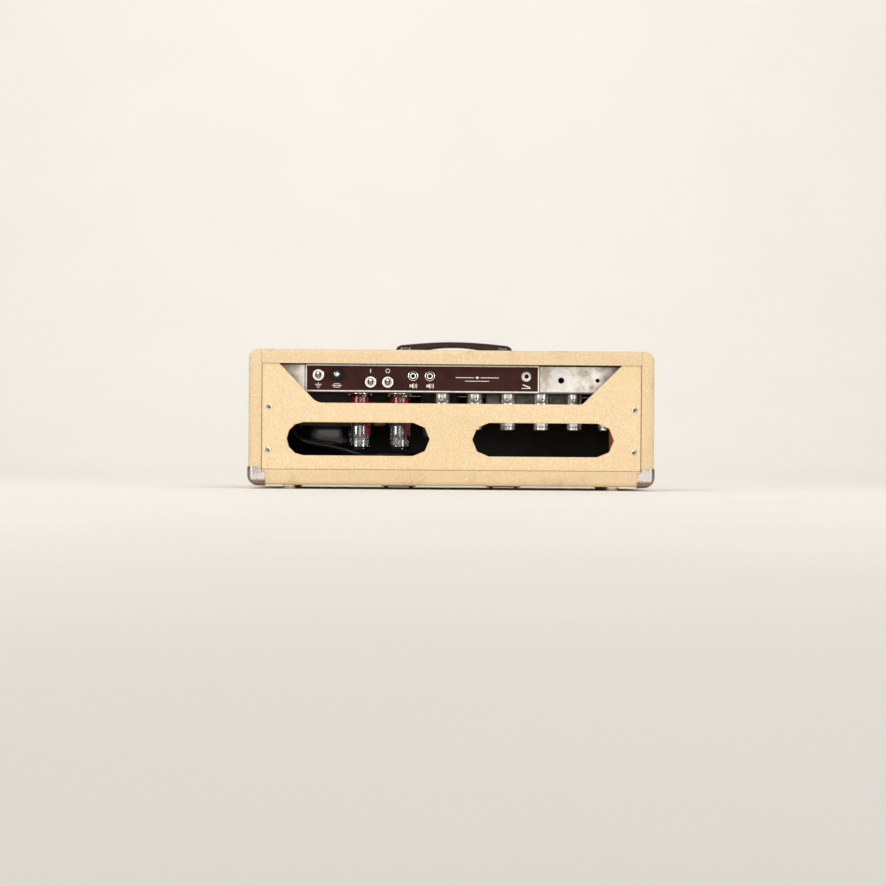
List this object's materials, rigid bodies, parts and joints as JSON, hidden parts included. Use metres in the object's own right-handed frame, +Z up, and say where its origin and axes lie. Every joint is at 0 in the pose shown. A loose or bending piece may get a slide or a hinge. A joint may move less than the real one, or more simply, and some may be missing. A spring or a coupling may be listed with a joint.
{
  "type": "guitar amplifier head",
  "caption": "Valve guitar amplifier head: blonde covered wooden cabinet, chassis hung inside, cut-out back panel, rear faceplate with switches and jacks, top strap handle.",
  "frame": {"origin": "centre of the underside, on the plane the four glides stand on", "axes": "+Z up, +X along the cabinet's length towards the mains switch end, +Y out of the back, -Y out of the control panel"},
  "size_m": [0.6188, 0.2318, 0.2298],
  "materials": {
    "covering": "blonde rough textured vinyl covering over wood",
    "grille_cloth": "dark red woven grille cloth",
    "black_board": "black painted board",
    "nickel": "nickel plated steel, lightly worn",
    "chassis_steel": "bare plated steel with stains",
    "aluminium": "drawn aluminium",
    "faceplate": "dark brown enamelled plate",
    "handle": "dark brown moulded grip",
    "knob": "cream plastic",
    "black_plastic": "black phenolic",
    "black_steel": "black painted steel",
    "tube_glass": "clear blown glass",
    "jewel": "faceted red lens",
    "cord": "black rubber sheath"
  },
  "bodies": {
    "cabinet": {"top_board": "covering", "bottom_board": "covering", "side_board_left": "covering", "side_board_right": "covering", "back_panel": "covering", "grille_baffle": "black_board", "grille_cloth": "grille_cloth", "handle_bracket_left": "nickel", "handle_bracket_right": "nickel", "chassis": "chassis_steel", "rear_faceplate": "faceplate", "front_faceplate": "faceplate", "pilot_lamp": "jewel", "fuse_holder": "black_plastic", "speaker_jack": "nickel", "extension_jack": "nickel", "power_transformer": "black_steel", "output_transformer": "chassis_steel", "choke": "chassis_steel", "filter_capacitor_cover": "chassis_steel", "cord_strain_relief": "cord", "mains_lead": "cord", "mains_lead_coil": "cord", "mains_plug": "black_plastic", "corner_front_right": "nickel", "glide_front_right": "nickel", "corner_front_left": "nickel", "glide_front_left": "nickel", "corner_rear_left": "nickel", "glide_rear_left": "nickel", "corner_rear_right": "nickel", "glide_rear_right": "nickel", "ground_switch": "nickel", "power_switch": "nickel", "standby_switch": "nickel", "tube_socket_1": "nickel", "power_tube_1": "tube_glass", "tube_socket_2": "nickel", "power_tube_2": "tube_glass", "tube_shield_1": "aluminium", "tube_shield_2": "aluminium", "tube_shield_3": "aluminium", "tube_shield_4": "aluminium", "tube_shield_5": "aluminium", "tube_shield_6": "aluminium"},
    "knob_normal_volume": {"knob_normal_volume": "knob"},
    "knob_normal_treble": {"knob_normal_treble": "knob"},
    "knob_normal_bass": {"knob_normal_bass": "knob"},
    "knob_bright_volume": {"knob_bright_volume": "knob"},
    "knob_bright_treble": {"knob_bright_treble": "knob"},
    "knob_bright_bass": {"knob_bright_bass": "knob"},
    "knob_tremolo_speed": {"knob_tremolo_speed": "knob"},
    "knob_tremolo_intensity": {"knob_tremolo_intensity": "knob"},
    "knob_presence": {"knob_presence": "knob"},
    "ground_lever": {"ground_lever": "nickel"},
    "power_lever": {"power_lever": "nickel"},
    "standby_lever": {"standby_lever": "nickel"},
    "fuse_carrier": {"fuse_carrier": "nickel"},
    "fuse_cap": {"fuse_cap": "black_plastic"},
    "handle": {"handle": "handle"}
  },
  "joints": [
    {"name": "normal_volume_turn", "type": "hinge", "parent": "cabinet", "child": "knob_normal_volume", "pos_m": [-0.18, -0.09293, 0.17013], "axis": [0, -0.9397, 0.342], "range_deg": [-150, 150]},
    {"name": "normal_treble_turn", "type": "hinge", "parent": "cabinet", "child": "knob_normal_treble", "pos_m": [-0.144, -0.09293, 0.17013], "axis": [0, -0.9397, 0.342], "range_deg": [-150, 150]},
    {"name": "normal_bass_turn", "type": "hinge", "parent": "cabinet", "child": "knob_normal_bass", "pos_m": [-0.108, -0.09293, 0.17013], "axis": [0, -0.9397, 0.342], "range_deg": [-150, 150]},
    {"name": "bright_volume_turn", "type": "hinge", "parent": "cabinet", "child": "knob_bright_volume", "pos_m": [-0.01, -0.09293, 0.17013], "axis": [0, -0.9397, 0.342], "range_deg": [-150, 150]},
    {"name": "bright_treble_turn", "type": "hinge", "parent": "cabinet", "child": "knob_bright_treble", "pos_m": [0.026, -0.09293, 0.17013], "axis": [0, -0.9397, 0.342], "range_deg": [-150, 150]},
    {"name": "bright_bass_turn", "type": "hinge", "parent": "cabinet", "child": "knob_bright_bass", "pos_m": [0.062, -0.09293, 0.17013], "axis": [0, -0.9397, 0.342], "range_deg": [-150, 150]},
    {"name": "tremolo_speed_turn", "type": "hinge", "parent": "cabinet", "child": "knob_tremolo_speed", "pos_m": [0.098, -0.09293, 0.17013], "axis": [0, -0.9397, 0.342], "range_deg": [-150, 150]},
    {"name": "tremolo_intensity_turn", "type": "hinge", "parent": "cabinet", "child": "knob_tremolo_intensity", "pos_m": [0.134, -0.09293, 0.17013], "axis": [0, -0.9397, 0.342], "range_deg": [-150, 150]},
    {"name": "presence_turn", "type": "hinge", "parent": "cabinet", "child": "knob_presence", "pos_m": [0.17, -0.09293, 0.17013], "axis": [0, -0.9397, 0.342], "range_deg": [-150, 150]},
    {"name": "ground_throw", "type": "hinge", "parent": "cabinet", "child": "ground_lever", "pos_m": [0.2031, 0.1005, 0.1734], "axis": [-1, 0, 0], "range_deg": [0, 24]},
    {"name": "power_throw", "type": "hinge", "parent": "cabinet", "child": "power_lever", "pos_m": [0.1236, 0.1005, 0.1633], "axis": [-1, 0, 0], "range_deg": [0, 24]},
    {"name": "standby_throw", "type": "hinge", "parent": "cabinet", "child": "standby_lever", "pos_m": [0.0975, 0.1005, 0.1632], "axis": [-1, 0, 0], "range_deg": [0, 24]},
    {"name": "fuse_draw", "type": "slide", "parent": "cabinet", "child": "fuse_carrier", "axis": [0, 1, 0], "range_m": [0, 0.036]},
    {"name": "fuse_cap_turn", "type": "hinge", "parent": "fuse_carrier", "child": "fuse_cap", "pos_m": [0.1748, 0.1, 0.1744], "axis": [0, 1, 0], "range_deg": [-45, 0]},
    {"name": "handle_lift", "type": "slide", "parent": "cabinet", "child": "handle", "axis": [0, 0, 1], "range_m": [0, 0.004]}
  ]
}
